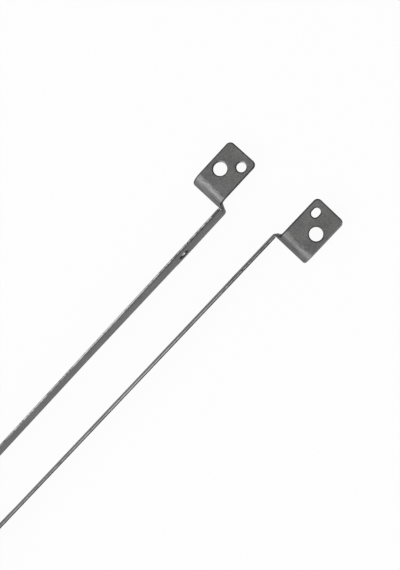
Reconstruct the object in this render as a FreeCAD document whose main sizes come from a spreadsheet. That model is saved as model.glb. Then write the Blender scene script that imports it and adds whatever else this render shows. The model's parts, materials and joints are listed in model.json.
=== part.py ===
import FreeCAD, Part
import os
import re
import Sketcher

# A pair of laptop screen hinges, left and right, lying side by side as they come to rest.
# Each is a folded steel rail that runs up the side of the screen panel to a fixing tab, and a
# friction knuckle at its foot that carries the bracket screwed to the computer's base.
#
# All lengths are millimetres and all angles degrees. Each hinge has a frame of its own:
# x points outwards from the panel, with 0 on the rail's panel face;
# y runs along the rail towards the tab, with 0 on the outer face of the folded end wall;
# z points up from the edge that the rail lies on.
# The left hinge is the mirror image in x of the right one.

SIZES = [
    # Rail: strip, end wall and tab folded from one sheet
    ("rail_sheet", 0.8),
    ("rail_height", 7.1),
    ("corner_bend", 0.25),
    ("tab_bend", 2.25),
    ("tab_relief", 0.5),
    ("tab_height", 5.6),
    ("tab_from_panel", 1.45),
    ("tab_width", 10.0),
    ("tab_reach", 15.1),
    ("tab_corner", 1.4),
    ("wall_corner", 0.8),
    # Neck where the strip's top drops beside the tab, flaring into the tab's bend
    ("neck_height", 3.4),
    ("neck_run", 0.3),
    ("corner_lift", 0.1),
    ("neck_flare", 0.25),
    ("root_flare", 1.0),
    ("flare_rise", 0.9),
    # Tab holes: a large locating hole and a small screw hole, which is a slot on the right rail
    ("pilot_hole", 3.8),
    ("pilot_from_tip", 7.45),
    ("pilot_from_side", 6.6),
    ("screw_hole", 2.7),
    ("slot_width", 2.1),
    ("slot_length", 2.8),
    ("screw_from_tip", 3.35),
    ("screw_from_side", 2.65),
    # Panel screw holes in the strip, each in a full-height lug, and the strip's taper between them
    ("panel_hole", 2.9),
    ("panel_hole_first", 15.65),
    ("panel_hole_from_pivot", 19.35),
    ("panel_hole_height", 3.0),
    ("lug_half", 2.85),
    ("lug_step", 0.25),
    ("lug_step_run", 0.6),
    ("slim_cut", 1.4),
    ("slim_from_wall", 55.0),
    ("slim_ramp", 3.0),
    # Setting mark nicked across the strip's upper edge
    ("mark_from_wall", 12.8),
    ("mark_width", 0.5),
    ("mark_depth", 0.3),
    # Pivot: its height is also the radius of the rail's round ear
    ("pivot_reach", 125.0),
    ("pivot_height", 5.2),
    ("ear_blend", 2.5),
    # Shaft, riveted through the rail's ear
    ("rivet_diameter", 4.6),
    ("rivet_height", 0.5),
    ("tenon_diameter", 3.2),
    ("tenon_flats", 2.4),
    ("shoulder_diameter", 6.0),
    ("shoulder_length", 1.2),
    ("journal_diameter", 3.6),
    ("journal_flats", 3.0),
    ("thread_diameter", 3.0),
    ("thread_past_nut", 1.1),
    ("thread_chamfer", 0.4),
    # Friction stack on the shaft
    ("washer_diameter", 6.0),
    ("friction_sheet", 0.4),
    ("brake_sheet", 0.4),
    ("stop_sheet", 0.8),
    ("stop_radius", 4.2),
    ("spring_sheet", 0.35),
    ("spring_rise", 0.25),
    ("spring_bore", 3.7),
    ("end_sheet", 0.5),
    ("nut_height", 2.4),
    ("nut_flats", 5.5),
    ("key_clearance", 0.03),
    ("running_clearance", 0.04),
    # Stop pin, pressed up from the base bracket, and the swing that it allows
    ("pin_diameter", 0.9),
    ("pin_radius", 3.7),
    ("swing", 180.0),
    ("swing_spare", 1.0),
    ("brake_lobe", 0.5),
    # Base bracket: an upright ear and web, folded out into a foot
    ("base_sheet", 1.2),
    ("base_bend", 0.6),
    ("base_ear_radius", 4.6),
    ("web_height", 4.5),
    ("web_shoulder", 5.0),
    ("web_slope", 9.0),
    ("foot_start", 6.5),
    ("foot_length", 19.5),
    ("foot_reach", 13.0),
    ("foot_corner", 2.0),
    ("foot_hole", 2.7),
    ("foot_hole_first", 4.0),
    ("foot_hole_spacing", 11.5),
    ("foot_hole_from_edge", 4.1),
    # How the two lie: each leans out onto its foot, and they stand a little apart and askew
    ("lean", 8.0),
    ("pair_gap", 13.0),
    ("pair_stagger", 4.6),
    ("toe_out", 0.35),
]

RIGHT = 1
LEFT = -1
SIDE_NAMES = {RIGHT: "right", LEFT: "left"}

# Places along the shaft, from the rail's panel face outwards
AT_SHOULDER = "rail_sheet"
AT_FRICTION = f"{AT_SHOULDER} + shoulder_length"
AT_BASE = f"{AT_FRICTION} + friction_sheet"
AT_BRAKE = f"{AT_BASE} + base_sheet"
AT_STOP = f"{AT_BRAKE} + brake_sheet"
AT_SPRINGS = f"{AT_STOP} + stop_sheet"
SPRING_HEIGHT = "(spring_sheet + spring_rise)"
AT_END_WASHER = f"{AT_SPRINGS} + 2 * {SPRING_HEIGHT}"
AT_NUT = f"{AT_END_WASHER} + end_sheet"
SHAFT_END = f"{AT_NUT} + nut_height + thread_past_nut"

# Places on the rail and on the base bracket
TAB_FAR_SIDE = "(tab_from_panel + tab_width)"
FLARE_SIDE = "(tab_from_panel - neck_flare)"
ROOT_SIDE = "(tab_from_panel - root_flare)"
CORNER_SIDE = "(rail_sheet + corner_bend)"
WALL_TOP = "(tab_height - tab_bend - rail_sheet - tab_relief)"
FOOT_LEVEL = "tan(lean) * (foot_reach - rail_sheet)"
FOOT_END = "(foot_start + foot_length)"

doc = FreeCAD.newDocument("laptop_hinge_pair")
sheet = doc.addObject("Spreadsheet::Sheet", "Sizes")
for row, (alias, size) in enumerate(SIZES, start=1):
    sheet.set(f"A{row}", alias)
    sheet.set(f"B{row}", str(size))
    sheet.setAlias(f"B{row}", alias)
doc.recompute()
ALIASES = {alias for alias, _ in SIZES}


def bound(text):
    """The expression with each size's name pointing at its cell."""
    return re.sub(
        r"[a-z_]+",
        lambda word: f"Sizes.{word.group()}" if word.group() in ALIASES else word.group(),
        text,
    )


def value(text):
    """The present value of an expression in the sizes."""
    return float(sheet.evalExpression(bound(text)))


def point(across, up):
    return FreeCAD.Vector(value(across), value(up), 0)


def drive(sketch, constraint, text):
    """Add a dimension to a sketch and bind it to an expression in the sizes."""
    index = sketch.addConstraint(constraint)
    sketch.setExpression(f"Constraints[{index}]", bound(text))


def pin_point(sketch, geometry, position, across, up):
    """Hold one point of the sketch at a place measured from the sketch's origin."""
    drive(sketch, Sketcher.Constraint("DistanceX", -1, 1, geometry, position, value(across)), across)
    drive(sketch, Sketcher.Constraint("DistanceY", -1, 1, geometry, position, value(up)), up)


def polygon(sketch, corners):
    """Closed outline with straight sides."""
    first = sketch.GeometryCount
    count = len(corners)
    for index in range(count):
        start = point(*corners[index])
        end = point(*corners[(index + 1) % count])
        sketch.addGeometry(Part.LineSegment(start, end))
    for index in range(count):
        following = first + (index + 1) % count
        sketch.addConstraint(Sketcher.Constraint("Coincident", first + index, 2, following, 1))
    for index, (across, up) in enumerate(corners):
        pin_point(sketch, first + index, 1, across, up)


def circle(sketch, across, up, diameter):
    """Round outline about a given centre."""
    radius = value(diameter) / 2
    up_axis = FreeCAD.Vector(0, 0, 1)
    index = sketch.addGeometry(Part.Circle(point(across, up), up_axis, radius))
    pin_point(sketch, index, 3, across, up)
    drive(sketch, Sketcher.Constraint("Diameter", index, 2 * radius), diameter)


def round_slot(sketch, across, up, width, length):
    """Slot with round ends, its length along the sketch's upright axis."""
    half_run = f"(({length}) - ({width})) / 2"
    top = point(across, f"{up} + {half_run}")
    low = point(across, f"{up} - {half_run}")
    radius = value(width) / 2
    aside = FreeCAD.Vector(radius, 0, 0)
    along = FreeCAD.Vector(0, radius, 0)
    upper = sketch.addGeometry(Part.Arc(top + aside, top + along, top - aside))
    left = sketch.addGeometry(Part.LineSegment(top - aside, low - aside))
    lower = sketch.addGeometry(Part.Arc(low - aside, low - along, low + aside))
    right = sketch.addGeometry(Part.LineSegment(low + aside, top + aside))
    for one, other in ((upper, left), (left, lower), (lower, right), (right, upper)):
        sketch.addConstraint(Sketcher.Constraint("Tangent", one, 2, other, 1))
    pin_point(sketch, upper, 3, across, f"{up} + {half_run}")
    pin_point(sketch, lower, 3, across, f"{up} - {half_run}")
    drive(sketch, Sketcher.Constraint("Radius", upper, radius), f"({width}) / 2")


def double_flat(sketch, across, up, diameter, flats):
    """Round outline with two flats, above and below its centre."""
    radius = value(diameter) / 2
    half = value(flats) / 2
    half_chord = (radius ** 2 - half ** 2) ** 0.5
    centre = point(across, up)
    corner = {}
    for side in (RIGHT, LEFT):
        for level in (1, -1):
            corner[side, level] = centre + FreeCAD.Vector(side * half_chord, level * half, 0)
    bulge = FreeCAD.Vector(radius, 0, 0)
    top = sketch.addGeometry(Part.LineSegment(corner[RIGHT, 1], corner[LEFT, 1]))
    left = sketch.addGeometry(Part.Arc(corner[LEFT, 1], centre - bulge, corner[LEFT, -1]))
    low = sketch.addGeometry(Part.LineSegment(corner[LEFT, -1], corner[RIGHT, -1]))
    right = sketch.addGeometry(Part.Arc(corner[RIGHT, -1], centre + bulge, corner[RIGHT, 1]))
    for one, other in ((top, left), (left, low), (low, right), (right, top)):
        sketch.addConstraint(Sketcher.Constraint("Coincident", one, 2, other, 1))
    sketch.addConstraint(Sketcher.Constraint("Horizontal", top))
    sketch.addConstraint(Sketcher.Constraint("Horizontal", low))
    sketch.addConstraint(Sketcher.Constraint("Coincident", left, 3, right, 3))
    sketch.addConstraint(Sketcher.Constraint("Equal", left, right))
    pin_point(sketch, right, 3, across, up)
    drive(sketch, Sketcher.Constraint("Diameter", right, 2 * radius), diameter)
    for line, level in ((top, 1), (low, -1)):
        height = f"{up} + {level} * ({flats}) / 2"
        drive(sketch, Sketcher.Constraint("DistanceY", -1, 1, line, 1, value(height)), height)


class Piece:
    """One body, shaped by pads, pockets, turned profiles and rounded edges."""

    def __init__(self, label):
        self.body = doc.addObject("PartDesign::Body", label)
        self.body.Label = label

    def sketch(self, plane, offset="0"):
        """Empty sketch on one of the body's own planes, moved along that plane's normal."""
        sketch = self.body.newObject("Sketcher::SketchObject", "Outline")
        support = next(f for f in self.body.Origin.OriginFeatures if f.Role == plane)
        sketch.AttachmentSupport = [(support, "")]
        sketch.MapMode = "FlatFace"
        sketch.setExpression("AttachmentOffset.Base.z", bound(offset))
        return sketch

    def pad(self, sketch, length, reverse=False, middle=False):
        feature = self.body.newObject("PartDesign::Pad", "Pad")
        feature.Profile = sketch
        feature.setExpression("Length", bound(length))
        feature.Reversed = reverse
        feature.SideType = "Symmetric" if middle else "One side"
        doc.recompute()

    def pocket(self, sketch, length=None, reverse=False):
        """Cut to a given depth, or right through both ways, and make sure that it cut."""
        before = self.body.Shape.Volume
        feature = self.body.newObject("PartDesign::Pocket", "Pocket")
        feature.Profile = sketch
        if length is None:
            feature.SideType = "Two sides"
            feature.Type = "ThroughAll"
            feature.Type2 = "ThroughAll"
        else:
            feature.setExpression("Length", bound(length))
            feature.Reversed = reverse
        self.check_cut(before)

    def turn(self, sketch, kind="PartDesign::Revolution"):
        """Turn a profile about the body's x axis, which is the sketch's own level axis."""
        before = self.body.Shape.Volume if kind == "PartDesign::Groove" else None
        feature = self.body.newObject(kind, "Turned")
        feature.Profile = sketch
        feature.ReferenceAxis = (sketch, ["H_Axis"])
        feature.Angle = 360
        if before is None:
            doc.recompute()
        else:
            self.check_cut(before)

    def check_cut(self, before):
        doc.recompute()
        if self.body.Shape.Volume >= before:
            raise ValueError(f"a cut in {self.body.Label} removed nothing")

    def round_edges(self, radius, **place):
        """Round every edge whose ends lie at the given x, y or z."""
        wanted = {axis: value(text) for axis, text in place.items()}
        names = []
        for number, edge in enumerate(self.body.Shape.Edges, start=1):
            ends = [vertex.Point for vertex in edge.Vertexes]
            if all(abs(getattr(end, axis) - at) < 1e-4 for end in ends for axis, at in wanted.items()):
                names.append(f"Edge{number}")
        if not names:
            raise ValueError(f"no edge to round on {self.body.Label} at {place}")
        solid = self.body.Tip
        feature = self.body.newObject("PartDesign::Fillet", "Rounding")
        feature.Base = (solid, names)
        feature.setExpression("Radius", bound(radius))
        doc.recompute()


def mirrored(side, text):
    """A place across the hinge, on the side that it belongs to."""
    return f"{side} * ({text})"


def folded_tab(sketch):
    """Cross-section of the tab, its bend and the top of the wall below it."""
    bend_out = "(rail_sheet + tab_bend)"
    bend_up = "(tab_height - rail_sheet - tab_bend)"
    under = "(tab_height - rail_sheet)"
    corners = [
        ("0", WALL_TOP),
        ("0", bend_up),
        (bend_out, "tab_height"),
        ("tab_reach", "tab_height"),
        ("tab_reach", under),
        (bend_out, under),
        ("rail_sheet", bend_up),
        ("rail_sheet", WALL_TOP),
    ]
    bends = {1: bend_out, 5: "tab_bend"}
    half_way = FreeCAD.Vector(-1, 1, 0).normalize()
    for index, corner in enumerate(corners):
        start = point(*corner)
        end = point(*corners[(index + 1) % len(corners)])
        if index in bends:
            middle = point(bend_out, bend_up) + half_way * value(bends[index])
            sketch.addGeometry(Part.Arc(start, middle, end))
        else:
            sketch.addGeometry(Part.LineSegment(start, end))
    for index, radius in bends.items():
        before = index - 1
        after = index + 1
        # An arc that runs clockwise is held by its far end first
        first, last = (1, 2) if index == 5 else (2, 1)
        sketch.addConstraint(Sketcher.Constraint("Tangent", before, 2, index, first))
        sketch.addConstraint(Sketcher.Constraint("Tangent", index, last, after, 1))
        pin_point(sketch, index, 3, bend_out, bend_up)
        drive(sketch, Sketcher.Constraint("Radius", index, value(radius)), radius)
    for index in (2, 3, 6, 7):
        following = (index + 1) % len(corners)
        sketch.addConstraint(Sketcher.Constraint("Coincident", index, 2, following, 1))
        pin_point(sketch, following, 1, *corners[following])


def make_rail(side):
    """Strip, end wall and tab in one folded sheet, with a round ear at the pivot end."""
    piece = Piece(f"{SIDE_NAMES[side]}_rail")
    inwards = side == LEFT

    # Strip and end wall as one bent wall, full height
    plan = piece.sketch("XY_Plane")
    corners = [
        ("0", "-pivot_reach"),
        ("rail_sheet", "-pivot_reach"),
        ("rail_sheet", "0"),
        (TAB_FAR_SIDE, "0"),
        (TAB_FAR_SIDE, "rail_sheet"),
        ("0", "rail_sheet"),
    ]
    polygon(plan, [(mirrored(side, x), y) for x, y in corners])
    piece.pad(plan, "rail_height")
    piece.round_edges("corner_bend", x=mirrored(side, "rail_sheet"), y="0")
    piece.round_edges("corner_bend + rail_sheet", x="0", y="rail_sheet")

    # The end wall stops just below the tab's bend, and its lower edge rises outwards
    over_wall = piece.sketch("XZ_Plane")
    corners = [
        (FLARE_SIDE, WALL_TOP),
        (TAB_FAR_SIDE, WALL_TOP),
        (TAB_FAR_SIDE, "rail_height"),
        (FLARE_SIDE, "rail_height"),
    ]
    polygon(over_wall, [(mirrored(side, x), z) for x, z in corners])
    piece.pocket(over_wall)
    under_wall = piece.sketch("XZ_Plane")
    corners = [
        (CORNER_SIDE, "0"),
        (TAB_FAR_SIDE, "0"),
        (TAB_FAR_SIDE, f"tan(lean) * ({TAB_FAR_SIDE} - rail_sheet)"),
        (CORNER_SIDE, "corner_lift"),
    ]
    polygon(under_wall, [(mirrored(side, x), z) for x, z in corners])
    piece.pocket(under_wall)

    # At the corner the strip's top drops to a neck, and its underside is lifted clear
    neck = piece.sketch("YZ_Plane")
    polygon(
        neck,
        [
            ("-neck_run", "rail_height"),
            ("-neck_run", "neck_height"),
            ("rail_sheet", "neck_height"),
            ("rail_sheet", "rail_height"),
        ],
    )
    polygon(
        neck,
        [
            ("-neck_run", "0"),
            ("rail_sheet", "0"),
            ("rail_sheet", "corner_lift"),
            ("-neck_run", "corner_lift"),
        ],
    )
    piece.pocket(neck)

    # Tab, folded forward from the top of the end wall, with its root flared towards the neck
    fold = piece.sketch("YZ_Plane", mirrored(side, ROOT_SIDE))
    folded_tab(fold)
    piece.pad(fold, "tab_width + root_flare", reverse=inwards)
    piece.round_edges(
        "wall_corner",
        x=mirrored(side, TAB_FAR_SIDE),
        z=f"tan(lean) * ({TAB_FAR_SIDE} - rail_sheet)",
    )
    beside_tab = piece.sketch("XZ_Plane")
    corners = [
        (ROOT_SIDE, "neck_height"),
        ("tab_from_panel", "neck_height + flare_rise"),
        ("tab_from_panel", "rail_height"),
        (ROOT_SIDE, "rail_height"),
    ]
    polygon(beside_tab, [(mirrored(side, x), z) for x, z in corners])
    piece.pocket(beside_tab, "tab_reach")
    for tab_edge in ("tab_from_panel", TAB_FAR_SIDE):
        piece.round_edges("tab_corner", x=mirrored(side, tab_edge), y="tab_reach")

    # Locating hole and screw hole in the tab
    holes = piece.sketch("XY_Plane")
    pilot_across = mirrored(side, "tab_from_panel + pilot_from_side")
    screw_across = mirrored(side, "tab_from_panel + screw_from_side")
    circle(holes, pilot_across, "tab_reach - pilot_from_tip", "pilot_hole")
    if side == RIGHT:
        round_slot(holes, screw_across, "tab_reach - screw_from_tip", "slot_width", "slot_length")
    else:
        circle(holes, screw_across, "tab_reach - screw_from_tip", "screw_hole")
    piece.pocket(holes)

    # The strip tapers below its first lug, and has a mark nicked in its upper edge
    second_hole = "(pivot_reach - panel_hole_from_pivot)"
    slim = piece.sketch("YZ_Plane")
    polygon(
        slim,
        [
            ("-(panel_hole_first + lug_half)", "0"),
            ("-(panel_hole_first + lug_half + lug_step_run)", "lug_step"),
            ("-slim_from_wall", "slim_cut"),
            (f"-({second_hole} - lug_half - slim_ramp)", "slim_cut"),
            (f"-({second_hole} - lug_half)", "0"),
        ],
    )
    polygon(
        slim,
        [
            (f"-({second_hole} + lug_half)", "0"),
            (f"-({second_hole} + lug_half + slim_ramp)", "slim_cut"),
            ("-pivot_reach", "slim_cut"),
            ("-pivot_reach", "0"),
        ],
    )
    polygon(
        slim,
        [
            ("-mark_from_wall - mark_width / 2", "rail_height"),
            ("-mark_from_wall", "rail_height - mark_depth"),
            ("-mark_from_wall + mark_width / 2", "rail_height"),
        ],
    )
    piece.pocket(slim)

    # Round ear at the pivot, blended into the strip, with a hole keyed to the shaft's tenon
    ear = piece.sketch("YZ_Plane")
    circle(ear, "-pivot_reach", "pivot_height", "2 * pivot_height")
    piece.pad(ear, "rail_sheet", reverse=inwards)
    for edge_height in ("rail_height", "slim_cut"):
        rise = f"({edge_height} - pivot_height)"
        piece.round_edges(
            "ear_blend",
            y=f"-pivot_reach + sqrt(pivot_height ^ 2 - {rise} ^ 2)",
            z=edge_height,
        )
    panel_holes = piece.sketch("YZ_Plane")
    circle(panel_holes, "-panel_hole_first", "panel_hole_height", "panel_hole")
    circle(panel_holes, f"-{second_hole}", "panel_hole_height", "panel_hole")
    piece.pocket(panel_holes)
    keyhole = piece.sketch("YZ_Plane")
    double_flat(
        keyhole,
        "-pivot_reach",
        "pivot_height",
        "tenon_diameter + 2 * key_clearance",
        "tenon_flats + 2 * key_clearance",
    )
    piece.pocket(keyhole)
    return piece


def make_base_bracket(side):
    """Upright ear and web with a folded foot, in one piece with the stop pin pressed up from it."""
    piece = Piece(f"{SIDE_NAMES[side]}_base_bracket")
    inwards = side == LEFT
    inner_face = AT_BASE
    outer_face = AT_BRAKE
    foot_top = f"{FOOT_LEVEL} + base_sheet"
    bend_end = f"{FOOT_LEVEL} + base_sheet + base_bend"
    web_top = f"{FOOT_LEVEL} + web_height"
    ear_top = "pivot_height + base_ear_radius"

    # Folded foot, as an angle section drawn across the hinge
    section = piece.sketch("XZ_Plane", "pivot_reach + foot_start")
    corners = [
        (inner_face, FOOT_LEVEL),
        ("foot_reach", FOOT_LEVEL),
        ("foot_reach", foot_top),
        (outer_face, foot_top),
        (outer_face, web_top),
        (inner_face, web_top),
    ]
    polygon(section, [(mirrored(side, x), z) for x, z in corners])
    piece.pad(section, "foot_length")
    piece.round_edges("base_bend", x=mirrored(side, outer_face), z=foot_top)
    piece.round_edges("base_bend + base_sheet", x=mirrored(side, inner_face), z=FOOT_LEVEL)
    for foot_end in ("foot_start", FOOT_END):
        piece.round_edges("foot_corner", x=mirrored(side, "foot_reach"), y=f"-(pivot_reach + {foot_end})")

    # Web and round ear
    web = piece.sketch("YZ_Plane", mirrored(side, inner_face))
    polygon(
        web,
        [
            ("-pivot_reach", ear_top),
            ("-(pivot_reach + web_shoulder)", ear_top),
            ("-(pivot_reach + web_shoulder + web_slope)", web_top),
            ("-(pivot_reach + web_shoulder + web_slope)", bend_end),
            ("-(pivot_reach + foot_start)", bend_end),
            ("-pivot_reach", "pivot_height - base_ear_radius"),
        ],
    )
    piece.pad(web, "base_sheet", reverse=inwards)
    ear = piece.sketch("YZ_Plane", mirrored(side, inner_face))
    circle(ear, "-pivot_reach", "pivot_height", "2 * base_ear_radius")
    piece.pad(ear, "base_sheet", reverse=inwards)

    # Stop pin, bore for the shaft, and screw holes in the foot
    stop = piece.sketch("YZ_Plane", mirrored(side, outer_face))
    circle(stop, "-pivot_reach", "pivot_height + pin_radius", "pin_diameter")
    piece.pad(stop, "brake_sheet + stop_sheet", reverse=inwards)
    bore = piece.sketch("YZ_Plane")
    circle(bore, "-pivot_reach", "pivot_height", "journal_diameter + 2 * running_clearance")
    piece.pocket(bore)
    screws = piece.sketch("XY_Plane")
    hole_across = mirrored(side, "foot_reach - foot_hole_from_edge")
    first_hole = "-(pivot_reach + foot_start + foot_hole_first)"
    circle(screws, hole_across, first_hole, "foot_hole")
    circle(screws, hole_across, f"{first_hole} - foot_hole_spacing", "foot_hole")
    piece.pocket(screws)
    return piece


def make_shaft(label):
    """Turned shaft along x: rivet head, keyed tenon, shoulder, keyed journal and threaded end."""
    piece = Piece(label)
    profile = piece.sketch("XZ_Plane")
    polygon(
        profile,
        [
            ("-rivet_height", "0"),
            ("-rivet_height", "rivet_diameter / 2 - rivet_height"),
            ("0", "rivet_diameter / 2"),
            ("0", "tenon_diameter / 2"),
            (AT_SHOULDER, "tenon_diameter / 2"),
            (AT_SHOULDER, "shoulder_diameter / 2"),
            (AT_FRICTION, "shoulder_diameter / 2"),
            (AT_FRICTION, "journal_diameter / 2"),
            (AT_NUT, "journal_diameter / 2"),
            (AT_NUT, "thread_diameter / 2"),
            (f"{SHAFT_END} - thread_chamfer", "thread_diameter / 2"),
            (SHAFT_END, "thread_diameter / 2 - thread_chamfer"),
            (SHAFT_END, "0"),
        ],
    )
    piece.turn(profile)
    keyed_lengths = (
        ("0", "rail_sheet", "tenon_diameter", "tenon_flats"),
        (AT_FRICTION, f"{AT_NUT} - ({AT_FRICTION})", "journal_diameter", "journal_flats"),
    )
    for start, length, diameter, flats in keyed_lengths:
        cuts = piece.sketch("YZ_Plane", start)
        for level in (1, -1):
            low = f"{level} * {flats} / 2"
            high = f"{level} * {diameter} / 2"
            polygon(
                cuts,
                [
                    (f"-{diameter} / 2", low),
                    (f"{diameter} / 2", low),
                    (f"{diameter} / 2", high),
                    (f"-{diameter} / 2", high),
                ],
            )
        piece.pocket(cuts, length, reverse=True)
    return piece


def keyed_hole(piece):
    """Cut the hole that slides over the thread and is keyed to the journal's flats."""
    hole = piece.sketch("YZ_Plane")
    double_flat(
        hole,
        "0",
        "0",
        "journal_diameter + 2 * key_clearance",
        "journal_flats + 2 * key_clearance",
    )
    piece.pocket(hole)


def make_keyed_washer(label, thickness):
    """Flat washer that turns with the shaft."""
    piece = Piece(label)
    disc = piece.sketch("YZ_Plane")
    circle(disc, "0", "0", "washer_diameter")
    piece.pad(disc, thickness, middle=True)
    keyed_hole(piece)
    return piece


def make_stop_washer(label):
    """Keyed washer with a broad sector, whose two ends meet the stop pin at the swing's limits.

    The pin stands straight up when the hinge lies open, and closing carries it round through +y.
    """
    piece = Piece(label)
    full = piece.sketch("YZ_Plane")
    circle(full, "0", "0", "2 * stop_radius")
    piece.pad(full, "stop_sheet", middle=True)
    pin_half_angle = "asin(pin_diameter / 2 / pin_radius) / 1 deg"
    open_angle = f"(swing + 2 * swing_spare + 2 * {pin_half_angle})"
    first_angle = f"(90 + swing_spare + {pin_half_angle})"
    outside = "2 * stop_radius"
    corners = [("0", "0")]
    for third in range(4):
        angle = f"({first_angle} - {open_angle} * {third} / 3)"
        corners.append((f"{outside} * cos({angle})", f"{outside} * sin({angle})"))
    gap = piece.sketch("YZ_Plane")
    polygon(gap, corners)
    piece.pocket(gap)
    disc = piece.sketch("YZ_Plane")
    circle(disc, "0", "0", "washer_diameter")
    piece.pad(disc, "stop_sheet", middle=True)
    keyed_hole(piece)
    return piece


def make_brake_washer(label):
    """Bronze washer held still against the bracket by a lobe over the stop pin."""
    piece = Piece(label)
    disc = piece.sketch("YZ_Plane")
    circle(disc, "0", "0", "washer_diameter")
    piece.pad(disc, "brake_sheet", middle=True)
    lobe = piece.sketch("YZ_Plane")
    circle(lobe, "0", "pin_radius", "pin_diameter + 2 * brake_lobe")
    piece.pad(lobe, "brake_sheet", middle=True)
    holes = piece.sketch("YZ_Plane")
    circle(holes, "0", "0", "journal_diameter + 2 * running_clearance")
    circle(holes, "0", "pin_radius", "pin_diameter + 2 * key_clearance")
    piece.pocket(holes)
    return piece


def make_spring_washer(label):
    """Dished spring washer, its rim at x = 0 and its bore raised towards +x."""
    piece = Piece(label)
    profile = piece.sketch("XZ_Plane")
    polygon(
        profile,
        [
            ("0", "washer_diameter / 2"),
            ("spring_sheet", "washer_diameter / 2"),
            (SPRING_HEIGHT, "spring_bore / 2"),
            ("spring_rise", "spring_bore / 2"),
        ],
    )
    piece.turn(profile)
    return piece


def make_lock_nut(label):
    """Six-sided nut with its outer corners turned off."""
    piece = Piece(label)
    outline = piece.sketch("YZ_Plane")
    corner_radius = "(nut_flats / 2 / cos(30))"
    corners = []
    for turn in range(0, 360, 60):
        corners.append((f"{corner_radius} * cos({turn})", f"{corner_radius} * sin({turn})"))
    polygon(outline, corners)
    piece.pad(outline, "nut_height")
    corner_cut = piece.sketch("XZ_Plane")
    polygon(
        corner_cut,
        [
            ("nut_height", "nut_flats / 2"),
            ("nut_height", corner_radius),
            (f"nut_height - ({corner_radius} - nut_flats / 2) * tan(30)", corner_radius),
        ],
    )
    piece.turn(corner_cut, "PartDesign::Groove")
    hole = piece.sketch("YZ_Plane")
    circle(hole, "0", "0", "thread_diameter")
    piece.pocket(hole)
    return piece


def hinge_place(side):
    """Where one hinge's own frame lies: leaning out about its lower edge, and standing askew."""
    lower_edge = FreeCAD.Vector(side * value("rail_sheet"), 0, 0)
    along = FreeCAD.Vector(0, 1, 0)
    upright = FreeCAD.Vector(0, 0, 1)
    lean = FreeCAD.Rotation(along, side * value("lean"))
    leaning = FreeCAD.Placement(FreeCAD.Vector(), lean, lower_edge)
    middle = value(f"(pivot_reach + {FOOT_END} - tab_reach) / 2")
    corner = FreeCAD.Vector(
        side * value("pair_gap / 2"),
        side * value("pair_stagger / 2") + middle,
        0,
    )
    standing = FreeCAD.Placement(corner, FreeCAD.Rotation(upright, -side * value("toe_out")))
    return standing.multiply(leaning)


def seat(piece, side, out, half_turn=False):
    """Put a piece on the shaft's axis, a distance out from the rail's panel face."""
    spot = FreeCAD.Vector(side * value(out), -value("pivot_reach"), value("pivot_height"))
    upright = FreeCAD.Vector(0, 0, 1)
    turn = FreeCAD.Rotation(upright, 180 if half_turn else 0)
    piece.body.Placement = hinge_place(side).multiply(FreeCAD.Placement(spot, turn))
    return piece


def make_hinge(side):
    """Every piece of one hinge, in the order that it is put together."""
    name = SIDE_NAMES[side]
    rail = make_rail(side)
    bracket = make_base_bracket(side)
    for piece in (rail, bracket):
        piece.body.Placement = hinge_place(side)

    # A turned piece is drawn with its outer end towards +x, which on the left hinge is inwards
    outwards = side == LEFT
    inwards = side == RIGHT
    shaft = seat(make_shaft(f"{name}_shaft"), side, "0", outwards)
    friction = make_keyed_washer(f"{name}_friction_washer", "friction_sheet")
    seat(friction, side, f"{AT_FRICTION} + friction_sheet / 2")
    brake = make_brake_washer(f"{name}_brake_washer")
    seat(brake, side, f"{AT_BRAKE} + brake_sheet / 2")
    stop = make_stop_washer(f"{name}_stop_washer")
    seat(stop, side, f"{AT_STOP} + stop_sheet / 2")
    inner_spring = make_spring_washer(f"{name}_inner_spring_washer")
    seat(inner_spring, side, AT_SPRINGS, outwards)
    outer_spring = make_spring_washer(f"{name}_outer_spring_washer")
    seat(outer_spring, side, AT_END_WASHER, inwards)
    end_washer = make_keyed_washer(f"{name}_end_washer", "end_sheet")
    seat(end_washer, side, f"{AT_END_WASHER} + end_sheet / 2")
    nut = seat(make_lock_nut(f"{name}_lock_nut"), side, AT_NUT, outwards)
    return [
        rail, shaft, friction, bracket, brake, stop, inner_spring, outer_spring, end_washer, nut,
    ]


pieces = make_hinge(RIGHT) + make_hinge(LEFT)
doc.recompute()

for item in doc.Objects:
    if {"Invalid", "Error"} & set(item.State):
        raise ValueError(f"{item.Label} failed to build")
for piece in pieces:
    shape = piece.body.Shape
    if shape.isNull() or not shape.isValid() or len(shape.Solids) != 1:
        raise ValueError(f"{piece.body.Label} is not one sound solid")

os.makedirs("parts", exist_ok=True)
for piece in pieces:
    shape = piece.body.Shape
    shape.exportStep(f"parts/{piece.body.Label}.step")
    box = shape.BoundBox
    print(f"{piece.body.Label}: {shape.Volume:.2f} cubic mm, lowest at {box.ZMin:.3f}")
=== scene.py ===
# %% [markdown]
# # A pair of laptop screen hinges
# Each hinge is a folded steel rail that runs up the side of a screen to a drilled tab, with a small
# friction knuckle at its foot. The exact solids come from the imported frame. This lesson gives them
# the finish of real stamped parts: dull plated faces, bright cut edges and a cut thread.

# %% Load the solids
import json
import math

import bmesh
import bpy
from mathutils import Matrix, Vector

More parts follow.
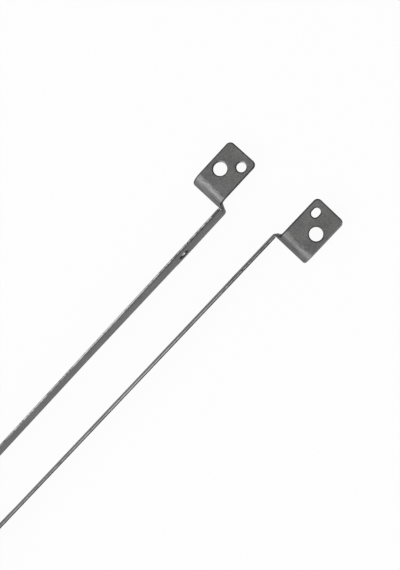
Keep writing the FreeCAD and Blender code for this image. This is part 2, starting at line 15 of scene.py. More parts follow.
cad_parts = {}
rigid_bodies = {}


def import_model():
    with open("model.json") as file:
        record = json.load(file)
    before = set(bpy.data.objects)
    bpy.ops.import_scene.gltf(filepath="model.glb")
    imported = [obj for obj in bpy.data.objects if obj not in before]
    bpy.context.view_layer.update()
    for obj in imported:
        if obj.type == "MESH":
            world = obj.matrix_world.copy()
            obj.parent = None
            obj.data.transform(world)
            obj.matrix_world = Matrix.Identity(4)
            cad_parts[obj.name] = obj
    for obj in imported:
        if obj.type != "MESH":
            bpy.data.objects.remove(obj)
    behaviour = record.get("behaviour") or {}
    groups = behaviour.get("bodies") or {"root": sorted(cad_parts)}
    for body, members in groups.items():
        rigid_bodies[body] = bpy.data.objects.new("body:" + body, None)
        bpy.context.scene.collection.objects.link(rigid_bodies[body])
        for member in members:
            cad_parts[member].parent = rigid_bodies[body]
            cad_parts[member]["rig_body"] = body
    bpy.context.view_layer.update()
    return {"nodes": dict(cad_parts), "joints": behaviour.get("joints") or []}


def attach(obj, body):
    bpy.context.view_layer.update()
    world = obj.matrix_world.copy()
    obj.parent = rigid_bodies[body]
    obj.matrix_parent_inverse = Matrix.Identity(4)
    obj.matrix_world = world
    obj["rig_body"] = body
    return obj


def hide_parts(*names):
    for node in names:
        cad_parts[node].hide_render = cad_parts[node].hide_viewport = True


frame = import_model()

MM = 0.001

# %% [markdown]
# ## The camera
# The picture was taken from almost straight above, with a long lens, and the rails run across it from
# corner to corner. So the camera hangs high over the tabs, is tipped a few degrees from the upright
# and is turned until the rails lie on the diagonal. Placing it by eye is hard with so long a lens, so
# its place, turn and lens are written as numbers.

# %% Camera
CAMERA_PLACE = Vector((68.151, 38.983, 695.925)) * MM
CAMERA_TURN = [math.radians(angle) for angle in (4.2239, 3.5402, 43.1729)]
CAMERA_LENS = 165.52
FILM_WIDTH = 36.0
NEAREST = 0.01
FARTHEST = 20.0
camera_data = bpy.data.cameras.new("camera")
camera_data.lens = CAMERA_LENS
camera_data.sensor_width = FILM_WIDTH
camera_data.clip_start = NEAREST
camera_data.clip_end = FARTHEST
camera = bpy.data.objects.new("camera", camera_data)
camera.location = CAMERA_PLACE
camera.rotation_euler = CAMERA_TURN
bpy.context.scene.collection.objects.link(camera)
bpy.context.scene.camera = camera
bpy.context.scene.view_settings.view_transform = "Standard"
print("Camera height in mm:", round(camera.location.z / MM))

# %% [markdown]
# ## Floor and light
# The hinges lie on plain white. A broad lamp on the picture's left makes the bends shine. A pale sky
# fills the rest, brighter on the lamp's side than behind the tabs, as in a room with one window. That
# is what makes the rims that face away look dark. The floor glows for the camera just enough to be
# white, but part of it is an ordinary matt surface, so the hinges still cast a soft shadow on it.

# %% Node helpers
def add_node(tree, kind, **settings):
    """A node of a given kind, with its properties set."""
    node = tree.nodes.new(kind)
    for name, setting in settings.items():
        setattr(node, name, setting)
    return node


def new_material(name):
    """An empty material and its node tree."""
    material = bpy.data.materials.new(name)
    material.use_nodes = True
    material.node_tree.nodes.clear()
    return material, material.node_tree


def sees_background(tree):
    """1 for rays that should see plain white: from the camera, off gloss or through glass."""
    path = add_node(tree, "ShaderNodeLightPath")
    first = add_node(tree, "ShaderNodeMath", operation="MAXIMUM")
    tree.links.new(path.outputs["Is Camera Ray"], first.inputs[0])
    tree.links.new(path.outputs["Is Glossy Ray"], first.inputs[1])
    second = add_node(tree, "ShaderNodeMath", operation="MAXIMUM")
    tree.links.new(first.outputs[0], second.inputs[0])
    tree.links.new(path.outputs["Is Transmission Ray"], second.inputs[1])
    return second.outputs[0]


# %% Floor
WHITE = (1.0, 1.0, 1.0, 1.0)
FLOOR_PAINT = (0.9, 0.9, 0.9, 1.0)
FLOOR_GLOW = 0.95
FLOOR_HALF = 3.0
floor_mesh = bpy.data.meshes.new("floor")
corners = [(x * FLOOR_HALF, y * FLOOR_HALF, 0.0) for x, y in ((-1, -1), (1, -1), (1, 1), (-1, 1))]
floor_mesh.from_pydata(corners, [], [(0, 1, 2, 3)])
floor = bpy.data.objects.new("floor", floor_mesh)
bpy.context.scene.collection.objects.link(floor)

floor_finish, tree = new_material("white_floor")
matt = add_node(tree, "ShaderNodeBsdfDiffuse")
matt.inputs["Color"].default_value = FLOOR_PAINT
glow = add_node(tree, "ShaderNodeEmission")
glow.inputs["Color"].default_value = WHITE
share = add_node(tree, "ShaderNodeMath", operation="MULTIPLY")
share.inputs[1].default_value = FLOOR_GLOW
tree.links.new(sees_background(tree), share.inputs[0])
blend = add_node(tree, "ShaderNodeMixShader")
tree.links.new(share.outputs[0], blend.inputs["Fac"])
tree.links.new(matt.outputs[0], blend.inputs[1])
tree.links.new(glow.outputs[0], blend.inputs[2])
surface = add_node(tree, "ShaderNodeOutputMaterial")
tree.links.new(blend.outputs[0], surface.inputs["Surface"])
floor_mesh.materials.append(floor_finish)
print("Floor side in m:", 2 * FLOOR_HALF)

# %% Sky
SKY_ON_LAMP_SIDE = 0.9
SKY_BEHIND_TABS = 0.3
world = bpy.data.worlds.new("sky")
world.use_nodes = True
tree = world.node_tree
sky = tree.nodes["Background"]
sky.inputs["Color"].default_value = WHITE
heading = add_node(tree, "ShaderNodeSeparateXYZ")
tree.links.new(add_node(tree, "ShaderNodeTexCoord").outputs["Generated"], heading.inputs[0])
fade = add_node(tree, "ShaderNodeMapRange")
fade.inputs["From Min"].default_value = -1.0
fade.inputs["To Min"].default_value = SKY_ON_LAMP_SIDE
fade.inputs["To Max"].default_value = SKY_BEHIND_TABS
tree.links.new(heading.outputs["Y"], fade.inputs["Value"])
tree.links.new(fade.outputs["Result"], sky.inputs["Strength"])
bpy.context.scene.world = world
print("Sky strength from", SKY_ON_LAMP_SIDE, "to", SKY_BEHIND_TABS)

# %% Lamp
LAMP_PLACE = Vector((-0.15, -0.78, 0.95))
LAMP_SIZE = 0.75
LAMP_POWER = 4.8
TABS_PLACE = Vector((0.0, 0.07, 0.0))
lamp_data = bpy.data.lights.new("left_lamp", "AREA")
lamp_data.size = LAMP_SIZE
lamp_data.energy = LAMP_POWER
lamp = bpy.data.objects.new("left_lamp", lamp_data)
lamp.location = LAMP_PLACE
lamp.rotation_euler = (TABS_PLACE - LAMP_PLACE).to_track_quat("-Z", "Y").to_euler()
bpy.context.scene.collection.objects.link(lamp)
print("Lamp to tabs in m:", round((TABS_PLACE - LAMP_PLACE).length, 2))

# %% [markdown]
# ## Where each hinge lies
# The two hinges lean over and stand a little askew, so the world's axes don't follow their sheets.
# Each hinge gets a frame of its own instead, taken from its joint in the record: out along the shaft,
# along the rail to the tab, and up the strip. The finishes use it to tell a rolled sheet face from a
# cut edge.

# %% Hinge frames
SIDES = {"right": 1.0, "left": -1.0}
hinge_frames = {}
hinge_pivots = {}
for joint in frame["joints"]:
    side = joint["name"].split("_")[0]
    out = Vector(joint["axis"]).normalized()
    if out.x * SIDES[side] < 0:
        out.negate()
    up = (Vector((0.0, 0.0, 1.0)) - out * out.z).normalized()
    along = up.cross(out) * SIDES[side]
    hinge_frames[side] = (out, along, up)
    hinge_pivots[side] = Vector(joint["pos_m"])
    print(side, "hinge: out", [round(v, 3) for v in out], "along", [round(v, 3) for v in along])

# %% Hinge measures
TAB_REACH = 15.1 * MM


def in_hinge(side, place):
    """A place or direction measured out, along and up in its hinge."""
    return Vector([place.dot(axis) for axis in hinge_frames[side]])


def hinge_corner(side):
    """Where a hinge starts on its own axes: panel face, outer face of the end wall, low edge."""
    places = [in_hinge(side, vertex.co) for vertex in frame["nodes"][f"{side}_rail"].data.vertices]
    panel_face = min(place.x for place in places)
    tab_tip = max(place.y for place in places)
    low_edge = min(place.z for place in places)
    return Vector((panel_face, tab_tip - TAB_REACH, low_edge))


hinge_corners = {side: hinge_corner(side) for side in SIDES}
for side, corner in hinge_corners.items():
    print(side, "hinge starts in mm:", [round(v / MM, 2) for v in corner])

# %% [markdown]
# ## Rolled rims
# A punched sheet never has knife-sharp edges. The punch drags the metal down a little before it
# shears, so every cut has a small rolled rim. A Bevel modifier could round every edge, but it stumbles
# on flat faces with holes in them. This way is steadier: inset each broad face by the rim's width, and
# push the old outline down into the sheet. The inset ring becomes the rim, and gets its own material.
# Each kind of face has a number, which is the place of its finish in the piece's list of materials.

# %% Working copies
FACE, CUT, RIM, NOOK_SHADE, SHADED, BRIGHT, LAMP_SIDE_RIM, BURR_GLINT, FOLD, SCUFF = range(10)
SAME_PLACE = 0.0005 * MM
FLAT = math.radians(0.5)


def merged_copy(node_name):
    """A working copy of a solid with its corners merged and its flat triangles joined."""
    work = bmesh.new()
    work.from_mesh(frame["nodes"][node_name].data)
    bmesh.ops.remove_doubles(work, verts=work.verts, dist=SAME_PLACE)
    bmesh.ops.dissolve_limit(work, angle_limit=FLAT, verts=work.verts, edges=work.edges)
    return work


# %% Copies with rolled rims
ALIGNED = 0.7


def roll_rim(work, faces, width, depth):
    """Inset a group of faces and push its outline down into the sheet. The ring between is the rim."""
    inset = {"thickness": width, "use_even_offset": False, "use_boundary": True}
    ring = bmesh.ops.inset_region(work, faces=faces, **inset)
    inner = set(faces)
    pushes = {}
    for face in ring["faces"]:
        face.material_index = RIM
        for vert in face.verts:
            if not inner.intersection(vert.link_faces):
                pushes[vert] = pushes.get(vert, Vector()) + face.normal
    for vert, push in pushes.items():
        vert.co -= push.normalized() * depth


def stamped_copy(node_name, through, front_rim, back_rim):
    """A copy whose cut edges have rims, given as width and depth on the front and the back."""
    side = node_name.split("_")[0]
    work = merged_copy(node_name)
    fronts = []
    backs = []
    for face in work.faces:
        place = in_hinge(side, face.calc_center_median()) - hinge_corners[side]
        facing = in_hinge(side, face.normal).dot(through(place))
        face.material_index = FACE if abs(facing) > ALIGNED else CUT
        if facing > ALIGNED:
            fronts.append(face)
        elif facing < -ALIGNED:
            backs.append(face)
    roll_rim(work, fronts, *front_rim)
    roll_rim(work, backs, *back_rim)
    return work


# %% Finished pieces
SHEET_KINDS = (FACE, FOLD, SCUFF)
SHARP = math.radians(40.0)


def shading_kind(face):
    """Kind of a face for the shading, which runs on from a flat sheet face into a bend."""
    return FACE if face.material_index in SHEET_KINDS else face.material_index


def finish_piece(work, node_name, materials):
    """Turn a working copy into a piece with clean shading, which stands for its solid."""
    for face in work.faces:
        face.smooth = True
    for edge in work.edges:
        kinds = {shading_kind(face) for face in edge.link_faces}
        edge.smooth = len(kinds) == 1 and edge.calc_face_angle(math.pi) < SHARP
    mesh = bpy.data.meshes.new(node_name + "_skin")
    work.to_mesh(mesh)
    work.free()
    for material in materials:
        mesh.materials.append(material)
    piece = bpy.data.objects.new(node_name + "_skin", mesh)
    bpy.context.scene.collection.objects.link(piece)
    weighted = piece.modifiers.new("flat_faces_stay_flat", "WEIGHTED_NORMAL")
    weighted.keep_sharp = True
    graph = bpy.context.evaluated_depsgraph_get()
    piece.data = bpy.data.meshes.new_from_object(piece.evaluated_get(graph))
    piece.modifiers.clear()
    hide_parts(node_name)
    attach(piece, frame["nodes"][node_name]["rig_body"])
    return piece


# %% [markdown]
# ## Metal finishes
# All these metals are one recipe with different numbers. Two layers of noise make the colour cloudy
# and grainy, the same noise changes how rough the surface is, and a fine bump breaks up the shine. The
# noise is measured on Object coordinates, which are metres here, so a scale of 2000 means grains of
# about half a millimetre. The stretch makes streaks, for brushed, turned or sheared surfaces.

# %% Noise helpers
NOISE_MIDDLE = 0.5
NOISE_REACH = 0.2


def noise(tree, place, scale, detail):
    """Smooth noise of one scale over a place."""
    texture = add_node(tree, "ShaderNodeTexNoise")
    texture.inputs["Scale"].default_value = scale
    texture.inputs["Detail"].default_value = detail
    tree.links.new(place, texture.inputs["Vector"])
    return texture.outputs["Fac"]


def spread(tree, source, low, high, reach=NOISE_REACH):
    """Stretch the middle of a noise, as far as its reach, over a range of values."""
    ramp = add_node(tree, "ShaderNodeMapRange")
    ramp.inputs["From Min"].default_value = NOISE_MIDDLE - reach
    ramp.inputs["From Max"].default_value = NOISE_MIDDLE + reach
    ramp.inputs["To Min"].default_value = low
    ramp.inputs["To Max"].default_value = high
    tree.links.new(source, ramp.inputs["Value"])
    return ramp.outputs["Result"]


def drifted(tree, source, place, start, end, low, high):
    """Shift a noise by a low amount at one place on the y axis and a high one at another."""
    parts = add_node(tree, "ShaderNodeSeparateXYZ")
    tree.links.new(place, parts.inputs[0])
    drift = add_node(tree, "ShaderNodeMapRange")
    drift.inputs["From Min"].default_value = start
    drift.inputs["From Max"].default_value = end
    drift.inputs["To Min"].default_value = low
    drift.inputs["To Max"].default_value = high
    tree.links.new(parts.outputs["Y"], drift.inputs["Value"])
    total = add_node(tree, "ShaderNodeMath", operation="ADD")
    tree.links.new(source, total.inputs[0])
    tree.links.new(drift.outputs["Result"], total.inputs[1])
    return total.outputs[0]


# %% Grain and clouds
GRAIN_DETAIL = 3.0
GRAIN_SHARE = 0.65
CLOUD_DETAIL = 2.0
CLOUD_SHARE = 0.35
GRAINS_ACROSS_CLOUD = 12.0


def grain_and_clouds(tree, place, grain, stretch):
    """Two noises over a place: the fine grain alone, and the grain mixed with broad clouds."""
    mapping = add_node(tree, "ShaderNodeMapping")
    mapping.inputs["Scale"].default_value = stretch
    tree.links.new(place, mapping.inputs["Vector"])
    fine = noise(tree, mapping.outputs["Vector"], grain, GRAIN_DETAIL)
    cloud = noise(tree, place, grain / GRAINS_ACROSS_CLOUD, CLOUD_DETAIL)
    part = add_node(tree, "ShaderNodeMath", operation="MULTIPLY")
    part.inputs[1].default_value = GRAIN_SHARE
    tree.links.new(fine, part.inputs[0])
    both = add_node(tree, "ShaderNodeMath", operation="MULTIPLY_ADD")
    both.inputs[1].default_value = CLOUD_SHARE
    tree.links.new(cloud, both.inputs[0])
    tree.links.new(part.outputs[0], both.inputs[2])
    return fine, both.outputs[0]


# %% Metal recipe
BUMP_STRENGTH = 0.1
BUMP_HEIGHT = 0.02 * MM
ROUGH_SPREAD = 0.05
EVEN = (1, 1, 1)
# A Mix node has sockets for each type of data. These are the places of the ones for colours.
MIX_SHARE, MIX_DARK, MIX_LIGHT = (0, 6, 7)
MIX_COLOUR = 2


def grey(level):
    """A neutral colour of one level."""
    return (level, level, level)


def metal(name, dark, light, rough, grain, stretch=EVEN, edge_tint=0.5, drifts=(), reach=NOISE_REACH):
    """Metal whose colour and roughness are clouded and grained by noise."""
    material, tree = new_material(name)
    place = add_node(tree, "ShaderNodeTexCoord").outputs["Object"]
    fine, mottle = grain_and_clouds(tree, place, grain, stretch)
    shifted = mottle
    for drift in drifts:
        shifted = drifted(tree, shifted, place, *drift)
    tone = add_node(tree, "ShaderNodeMix", data_type="RGBA")
    tone.inputs[MIX_DARK].default_value = (*dark, 1.0)
    tone.inputs[MIX_LIGHT].default_value = (*light, 1.0)
    tree.links.new(spread(tree, shifted, 0.0, 1.0, reach), tone.inputs[MIX_SHARE])
    relief = add_node(tree, "ShaderNodeBump")
    relief.inputs["Strength"].default_value = BUMP_STRENGTH
    relief.inputs["Distance"].default_value = BUMP_HEIGHT
    tree.links.new(fine, relief.inputs["Height"])
    shader = add_node(tree, "ShaderNodeBsdfPrincipled")
    shader.inputs["Metallic"].default_value = 1.0
    shader.inputs["Specular Tint"].default_value = (*grey(edge_tint), 1.0)
    tree.links.new(tone.outputs[MIX_COLOUR], shader.inputs["Base Color"])
    roughness = spread(tree, mottle, rough - ROUGH_SPREAD, rough + ROUGH_SPREAD)
    tree.links.new(roughness, shader.inputs["Roughness"])
    tree.links.new(relief.outputs[0], shader.inputs["Normal"])
    surface = add_node(tree, "ShaderNodeOutputMaterial")
    tree.links.new(shader.outputs[0], surface.inputs["Surface"])
    print("Finish:", name)
    return material


# %% [markdown]
# ## Sheet finishes
# A rail is cut from plated sheet, so its broad faces are a dull dark grey with a mottled grain, and
# its sheared edges show brighter bare steel beside a dark rim. The faces, edges and rims also carry
# painted light: darker near the tab and brighter down the rail, the edges dimmer again lower down,
# and the left rail's edges lighter than the right's. That could be painted on an image, but the rail
# would have to be unwrapped first. Here the noise is shifted along the rail instead, before it picks
# a tone. Folding leaves streaks round the tab's bend, with a scuffed band where the bend ends.

# %% Finishes of both rails
SHEET_GRAIN = 2600.0
SHADED_TAB_END = 0.09
# A drift has its start and its end on the y axis, in metres, and the shift of the noise at each.
# The face and rim drifts are painted light: darker near the tab and brighter further down the rail.
FACE_PAINTED_LIGHT = (0.075, 0.01, 0.0, 0.08)
RIM_PAINTED_LIGHT = (SHADED_TAB_END, 0.0, -NOISE_REACH, NOISE_REACH)
PLATED = metal("plated_sheet", grey(0.14), (0.29, 0.288, 0.285), 0.46, SHEET_GRAIN, drifts=[FACE_PAINTED_LIGHT])
ROLLED = metal("rolled_rim", grey(0.07), grey(0.24), 0.42, SHEET_GRAIN, edge_tint=0.3, drifts=[RIM_PAINTED_LIGHT])
# Painted shade for the neck and the nick.
NOOK_SHADE_PAINT = metal("painted_shade_neck_and_nick", grey(0.18), grey(0.3), 0.5, SHEET_GRAIN, edge_tint=0.3)
# Painted shade for the walls of the strip's holes and the right strip's outer rim.
SHADE_PAINT = metal("painted_shade_wall_and_rim", grey(0.06), grey(0.12), 0.55, SHEET_GRAIN, edge_tint=0.1)
# Painted light for the upward floor of the strip's holes.
HOLE_FLOOR_LIGHT = metal("painted_light_hole_floor", grey(0.7), (0.9, 0.9, 0.89), 0.35, grain=1600.0)
# Painted glint on the burr along the right tab's far edge.
BURR_GLINT_PAINT = metal("burr_with_painted_glint", grey(0.17), grey(0.38), 0.4, SHEET_GRAIN)

# %% Finishes of each rail
BRIGHT_END = 0.025
FADE_START = 0.015
FADE_END = -0.015
FADE_DEPTH = 1.25
# Dark tone, light tone and, for an edge, the reach of its noise. The left rail's edges get lighter tones
# than the right's as painted light.
EDGE_PAINTED_LIGHT = {"left": (0.2, 0.9, 0.1), "right": (0.18, 0.62, 0.2)}
# Painted highlight on the lamp's side of the tab's holes, lighter on the left rail.
HOLE_RIM_HIGHLIGHT = {"left": (0.12, 0.28), "right": (0.08, 0.2)}
# Painted shade makes the right rail's bend darker than the left's.
BEND_PAINTED_LIGHT = {"left": 1.0, "right": 0.86}


def sheared_edge(side):
    """Cut edge with painted shade near the tab, painted light along its middle and less of it below."""
    dark, light, reach = EDGE_PAINTED_LIGHT[side]
    lit_middle = (SHADED_TAB_END, BRIGHT_END, -reach, reach)
    fade = (FADE_START, FADE_END, 0.0, -FADE_DEPTH * reach)
    return metal(
        f"{side}_sheared_edge",
        grey(dark),
        grey(light),
        rough=0.4,
        grain=1400.0,
        stretch=(0.25, 1, 0.25),
        edge_tint=0.6,
        drifts=[lit_middle, fade],
        reach=reach,
    )


def bend_finish(side, name, dark, light, rough, grain, streak):
    """Streaked finish of a bend, scaled by its side's painted light, which darkens the right rail's bend.
    """
    shine = BEND_PAINTED_LIGHT[side]
    return metal(f"{side}_{name}", grey(dark * shine), grey(light * shine), rough, grain, (streak, 1, 1))


def rail_finishes(side):
    """Materials of one rail, in the order of the kinds of face."""
    dark, light = HOLE_RIM_HIGHLIGHT[side]
    lit_hole_rim = metal(f"{side}_painted_highlight_hole_rim", grey(dark), grey(light), 0.4, SHEET_GRAIN, edge_tint=0.4)
    folded = bend_finish(side, "folded_bend", 0.12, 0.27, rough=0.38, grain=3400.0, streak=0.06)
    scuffed = bend_finish(side, "scuffed_bend", 0.08, 0.42, rough=0.46, grain=3800.0, streak=0.2)
    edge = sheared_edge(side)
    return (PLATED, edge, ROLLED, NOOK_SHADE_PAINT, SHADE_PAINT, HOLE_FLOOR_LIGHT, lit_hole_rim, BURR_GLINT_PAINT, folded, scuffed)


RAIL_FINISHES = {side: rail_finishes(side) for side in SIDES}
print("Finishes on each rail:", {side: len(finishes) for side, finishes in RAIL_FINISHES.items()})

# %% [markdown]
# ## Sheet faces and cuts
# Each face could be given its finish by hand, but that work is lost when the solid changes. A rule
# lasts longer. The script works out the direction through the sheet at each face. That is out of the
# strip, up through the tab, and turning round the two bends in between. A face that looks along that
# direction is a sheet face, and any other is a cut.

# %% Direction through a rail
RAIL_SHEET = 0.8 * MM
TAB_HEIGHT = 5.6 * MM
TAB_BEND = 2.25 * MM
CORNER_BEND = 0.25 * MM
CORNER_OUT = RAIL_SHEET + CORNER_BEND
BEND_ALONG = RAIL_SHEET + TAB_BEND
BEND_UP = TAB_HEIGHT - RAIL_SHEET - TAB_BEND


def through_rail(place):
    """Direction through a rail's sheet, from its panel side: out of the strip, up through the tab."""
    if place.y <= -CORNER_BEND:
        return Vector((1.0, 0.0, 0.0))
    if place.x < CORNER_OUT:
        return Vector((CORNER_OUT - place.x, -CORNER_BEND - place.y, 0.0)).normalized()
    if place.y > BEND_ALONG:
        return Vector((0.0, 0.0, 1.0))
    if place.z < BEND_UP:
        return Vector((0.0, -1.0, 0.0))
    return Vector((0.0, place.y - BEND_ALONG, place.z - BEND_UP)).normalized()


print("Centre of the tab's bend in mm:", [round(v / MM, 2) for v in (BEND_ALONG, BEND_UP)])

# %% [markdown]
# ## The rails
# Some places on a rail get painted light or shade. The neck and the nick get painted shade, the
# panel holes have walls in painted shade with a floor in painted light, and the rim on the lamp's
# side of each hole in the tab has a painted highlight. The right rail also has a raised burr along
# its tab's far edge, shown with a painted glint, and painted shade on the outer rim along its strip.
# All these places are known by their measures in the hinge, so the middle and the direction of a
# face are enough to choose its finish.

# %% Special places on the strip
NICK_PLACES = (-13.2 * MM, -12.4 * MM)
NICK_FLOOR = 6.5 * MM
NICK_TOP = 7.05 * MM
HOLE_HEIGHTS = (1.45 * MM, 4.5 * MM)
LOOKS_OUT = 0.2
LOOKS_UP = 0.94


def strip_cut(side, place, normal):
    """Special finish of a cut or rim on the strip, or None for a plain one."""
    # The nick gets painted shade.
    if NICK_PLACES[0] < place.y < NICK_PLACES[1] and NICK_FLOOR < place.z < NICK_TOP:
        return NOOK_SHADE
    # The right strip's outer rim along its top gets painted shade.
    if side == "right" and place.z > NICK_FLOOR and normal.x > LOOKS_OUT:
        return SHADED
    # A hole's upward floor gets painted light and its other walls painted shade.
    if HOLE_HEIGHTS[0] < place.z < HOLE_HEIGHTS[1]:
        return BRIGHT if normal.z > LOOKS_UP else SHADED
    return None


# %% Special places on the neck and tab
NECK_SIDE = 1.6 * MM
TAB_SIDES = (1.45 * MM, 11.45 * MM)
RIM_REACH = 0.6 * MM
LOOKS_BACK = 0.25
SCUFF_ANGLE = 72.0


def tab_cut(side, place, normal):
    """Special finish of a cut or rim on the neck or the tab, or None for a plain one."""
    # The neck gets painted shade.
    if place.x < NECK_SIDE:
        return NOOK_SHADE
    # The right tab's far edge, where it has a burr, gets a painted glint.
    if place.x > TAB_SIDES[1] - RIM_REACH:
        return BURR_GLINT if side == "right" else None
    # A rim on the lamp's side of a hole inside the tab gets a painted highlight.
    inside_along = BEND_ALONG + RIM_REACH < place.y < TAB_REACH - RIM_REACH
    inside = inside_along and place.x > TAB_SIDES[0] + RIM_REACH
    return LAMP_SIDE_RIM if inside and normal.y < -LOOKS_BACK else None


def sheet_kind(place):
    """Finish of a sheet face: streaked round the tab's bend, and scuffed where the bend ends."""
    back = BEND_ALONG - place.y
    rise = place.z - BEND_UP
    on_outside = math.hypot(back, rise) >= TAB_BEND + RAIL_SHEET / 2
    if min(back, rise) < 0 or not on_outside or place.x < NECK_SIDE:
        return FACE
    return SCUFF if math.degrees(math.atan2(rise, back)) > SCUFF_ANGLE else FOLD


# %% Rails
NECK_RUN = 0.45 * MM
FRONT_RIMS = {"left": (0.35 * MM, 0.18 * MM), "right": (0.35 * MM, 0.29 * MM)}
BACK_RIMS = {"left": (0.15 * MM, 0.34 * MM), "right": (0.15 * MM, 0.2 * MM)}
RIM_ONLY = (LAMP_SIDE_RIM, BURR_GLINT)
for side in SIDES:
    name = f"{side}_rail"
    rail = stamped_copy(name, through_rail, FRONT_RIMS[side], BACK_RIMS[side])
    special = 0
    for face in rail.faces:
        place = in_hinge(side, face.calc_center_median()) - hinge_corners[side]
        if face.material_index == FACE:
            face.material_index = sheet_kind(place)
            continue
        special_cut = tab_cut if place.y > -NECK_RUN else strip_cut
        kind = special_cut(side, place, in_hinge(side, face.normal))
        if kind is not None and (kind not in RIM_ONLY or face.material_index == RIM):
            face.material_index = kind
            special += 1
    piece = finish_piece(rail, name, RAIL_FINISHES[side])
    print(piece.name, "faces:", len(piece.data.polygons), "cuts and rims at special places:", special)

# %% [markdown]
# ## The base brackets
# The bracket that screws to the laptop's base is stamped from thicker plate of the same kind: an
# upright web with a round ear, folded out into a foot. It gets the rail's first three finishes, for
# faces, cuts and rims, with the direction through its sheet turning round its one bend.

# %% Base brackets
BASE_INNER = 2.4 * MM
BASE_SHEET = 1.2 * MM
BASE_BEND = 0.6 * MM
FOOT_LEVEL = 1.715 * MM
BASE_RIM = (0.16 * MM, 0.12 * MM)


def through_bracket(place):
    """Direction through a bracket's sheet: out of the web, up through the foot."""
    bend_out = BASE_INNER + BASE_SHEET + BASE_BEND
    bend_up = FOOT_LEVEL + BASE_SHEET + BASE_BEND
    if place.z >= bend_up:
        return Vector((1.0, 0.0, 0.0))
    if place.x >= bend_out:
        return Vector((0.0, 0.0, 1.0))
    return Vector((bend_out - place.x, 0.0, bend_up - place.z)).normalized()


for side in SIDES:
    name = f"{side}_base_bracket"
    bracket = stamped_copy(name, through_bracket, BASE_RIM, BASE_RIM)
    piece = finish_piece(bracket, name, RAIL_FINISHES[side][:RIM + 1])
    print(piece.name, "faces:", len(piece.data.polygons))

# %% [markdown]
# ## Washers and nut
# The friction stack is a row of small stamped pieces, each of its own metal: ground steel washers, a
# bronze brake washer, blued springs and a zinc-plated nut. They are flat across the shaft, so the way
# through them is simply out along it. Handling wears their rims a little brighter than their faces.

# %% Knuckle finishes
GROUND = metal("ground_steel", grey(0.34), grey(0.5), 0.35, grain=3000.0, stretch=(0.2, 1, 1))
WORN = metal("worn_steel", grey(0.5), (0.66, 0.66, 0.65), 0.3, grain=3000.0)
BLUED = metal("blued_spring_steel", (0.09, 0.09, 0.12), (0.24, 0.21, 0.2), 0.34, grain=800.0)
BRONZE = metal("oiled_bronze", (0.46, 0.28, 0.12), (0.68, 0.46, 0.24), 0.38, grain=2500.0)
WORN_BRONZE = metal("worn_bronze", (0.66, 0.45, 0.24), (0.8, 0.58, 0.34), 0.3, grain=2500.0)
ZINC = metal("zinc_plate", (0.5, 0.5, 0.48), (0.68, 0.68, 0.66), 0.32, grain=1800.0)

# %% Washers and nut
STACK = {
    "friction_washer": ("washer_steel", GROUND, WORN, 0.05 * MM),
    "brake_washer": ("brake_bronze", BRONZE, WORN_BRONZE, 0.05 * MM),
    "stop_washer": ("washer_steel", GROUND, WORN, 0.07 * MM),
    "inner_spring_washer": ("spring_steel", BLUED, WORN, 0.05 * MM),
    "outer_spring_washer": ("spring_steel", BLUED, WORN, 0.05 * MM),
    "end_washer": ("washer_steel", GROUND, WORN, 0.06 * MM),
    "lock_nut": ("nut_zinc", ZINC, ZINC, 0.06 * MM),
}


def through_stack(place):
    """Direction through the pieces on the shaft, which is the same at every place."""
    return Vector((1.0, 0.0, 0.0))


for side in SIDES:
    for part, (slot_name, finish, worn, rim) in STACK.items():
        name = f"{side}_{part}"
        stamped = stamped_copy(name, through_stack, (rim, rim), (rim, rim))
        finish_piece(stamped, name, (finish, finish, worn))
    print(side, "stack:", ", ".join(STACK))

# %% [markdown]
# ## The shaft and its thread
# The shaft is turned steel, riveted into the rail at one end and threaded for the nut at the other.
# The solid has a plain cylinder where the thread is. The copy is cut down to the thread's root there,
# and a ridge that winds round it brings the crest back to full size. A ridge on a path is a job for
# Geometry Nodes: a spiral curve carries a small square profile, standing on its corner.

# %% Thread tree
STEPS_IN_TURN = 40
PROFILE_CORNERS = 4


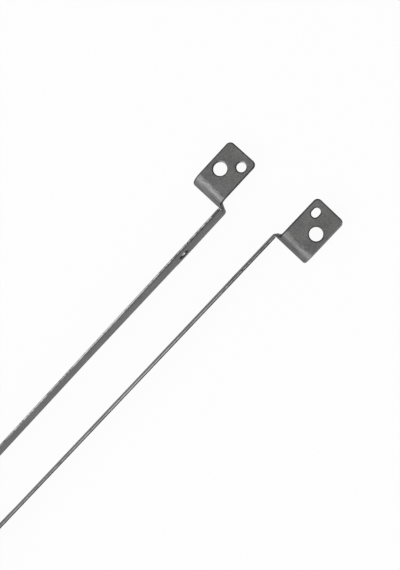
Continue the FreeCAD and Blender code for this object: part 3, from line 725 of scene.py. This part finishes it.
def thread_tree():
    """Node group that winds a ridge of given pitch and length about the z axis."""
    tree = bpy.data.node_groups.new("cut_thread", "GeometryNodeTree")
    for name in ("Pitch", "Length", "Root radius", "Depth"):
        tree.interface.new_socket(name, in_out="INPUT", socket_type="NodeSocketFloat")
    tree.interface.new_socket("Finish", in_out="INPUT", socket_type="NodeSocketMaterial")
    tree.interface.new_socket("Geometry", in_out="OUTPUT", socket_type="NodeSocketGeometry")
    given = add_node(tree, "NodeGroupInput")
    turns = add_node(tree, "ShaderNodeMath", operation="DIVIDE")
    tree.links.new(given.outputs["Length"], turns.inputs[0])
    tree.links.new(given.outputs["Pitch"], turns.inputs[1])
    spiral = add_node(tree, "GeometryNodeCurveSpiral")
    spiral.inputs["Resolution"].default_value = STEPS_IN_TURN
    tree.links.new(turns.outputs[0], spiral.inputs["Rotations"])
    tree.links.new(given.outputs["Root radius"], spiral.inputs["Start Radius"])
    tree.links.new(given.outputs["Root radius"], spiral.inputs["End Radius"])
    tree.links.new(given.outputs["Length"], spiral.inputs["Height"])
    level = add_node(tree, "GeometryNodeSetCurveNormal", mode="Z_UP")
    tree.links.new(spiral.outputs[0], level.inputs["Curve"])
    profile = add_node(tree, "GeometryNodeCurvePrimitiveCircle")
    profile.inputs["Resolution"].default_value = PROFILE_CORNERS
    tree.links.new(given.outputs["Depth"], profile.inputs["Radius"])
    ridge = add_node(tree, "GeometryNodeCurveToMesh")
    ridge.inputs["Fill Caps"].default_value = True
    tree.links.new(level.outputs[0], ridge.inputs["Curve"])
    tree.links.new(profile.outputs[0], ridge.inputs["Profile Curve"])
    real = add_node(tree, "GeometryNodeRealizeInstances")
    tree.links.new(ridge.outputs[0], real.inputs[0])
    painted = add_node(tree, "GeometryNodeSetMaterial")
    tree.links.new(real.outputs[0], painted.inputs["Geometry"])
    tree.links.new(given.outputs["Finish"], painted.inputs["Material"])
    result = add_node(tree, "NodeGroupOutput")
    tree.links.new(painted.outputs[0], result.inputs[0])
    return tree


THREAD_TREE = thread_tree()
print("Thread tree nodes:", len(THREAD_TREE.nodes))

# %% Thread ridge
THREAD_RADIUS = 1.5 * MM
THREAD_ROOT = 1.25 * MM
THREAD_PITCH = 0.5 * MM
CREST_GAP = 0.01 * MM
TURNED = metal("turned_steel", grey(0.4), (0.58, 0.57, 0.56), 0.3, grain=2200.0, stretch=(1, 0.2, 0.2))


def wind_thread(side, start, end):
    """Ridge of the thread on one shaft, from start to end as places on the shaft's axis."""
    axis = end - start
    piece = bpy.data.objects.new(f"{side}_shaft_thread", bpy.data.meshes.new(f"{side}_shaft_thread"))
    bpy.context.scene.collection.objects.link(piece)
    winding = piece.modifiers.new("cut_thread", "NODES")
    winding.node_group = THREAD_TREE
    given = {
        "Pitch": THREAD_PITCH,
        "Length": axis.length,
        "Root radius": THREAD_ROOT,
        "Depth": THREAD_RADIUS - THREAD_ROOT - CREST_GAP,
        "Finish": TURNED,
    }
    for item in THREAD_TREE.interface.items_tree:
        if item.name in given:
            winding[item.identifier] = given[item.name]
    graph = bpy.context.evaluated_depsgraph_get()
    piece.data = bpy.data.meshes.new_from_object(piece.evaluated_get(graph))
    piece.modifiers.clear()
    turn = axis.to_track_quat("Z", "Y").to_matrix().to_4x4()
    piece.data.transform(Matrix.Translation(start) @ turn)
    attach(piece, frame["nodes"][f"{side}_shaft"]["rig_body"])
    return piece


# %% Shafts
THREAD_LENGTH = 3.5 * MM
THREAD_CHAMFER = 0.4 * MM
TOLERANCE = 0.01 * MM


def cut_to_root(shaft, centre, out):
    """Cut a shaft's threaded end down to the thread's root. Gives where the ridge starts and ends."""
    shaft_end = max((vert.co - centre).dot(out) for vert in shaft.verts)
    threaded = []
    for vert in shaft.verts:
        reach = (vert.co - centre).dot(out)
        radius = (vert.co - centre - out * reach).length
        if abs(radius - THREAD_RADIUS) < TOLERANCE and reach > shaft_end - THREAD_LENGTH - TOLERANCE:
            threaded.append((vert, reach))
    for vert, reach in threaded:
        foot = centre + out * reach
        vert.co = foot + (vert.co - foot).normalized() * THREAD_ROOT
    ridge_start = min(reach for vert, reach in threaded) + THREAD_PITCH / 2
    ridge_end = shaft_end - THREAD_CHAMFER - THREAD_PITCH / 2
    return ridge_start, ridge_end


for side in SIDES:
    name = f"{side}_shaft"
    out = hinge_frames[side][0]
    centre = hinge_pivots[side]
    shaft = merged_copy(name)
    ridge_start, ridge_end = cut_to_root(shaft, centre, out)
    finish_piece(shaft, name, (TURNED,))
    thread = wind_thread(side, centre + out * ridge_start, centre + out * ridge_end)
    turns = round((ridge_end - ridge_start) / THREAD_PITCH, 1)
    print(thread.name, "faces:", len(thread.data.polygons), "turns:", turns)
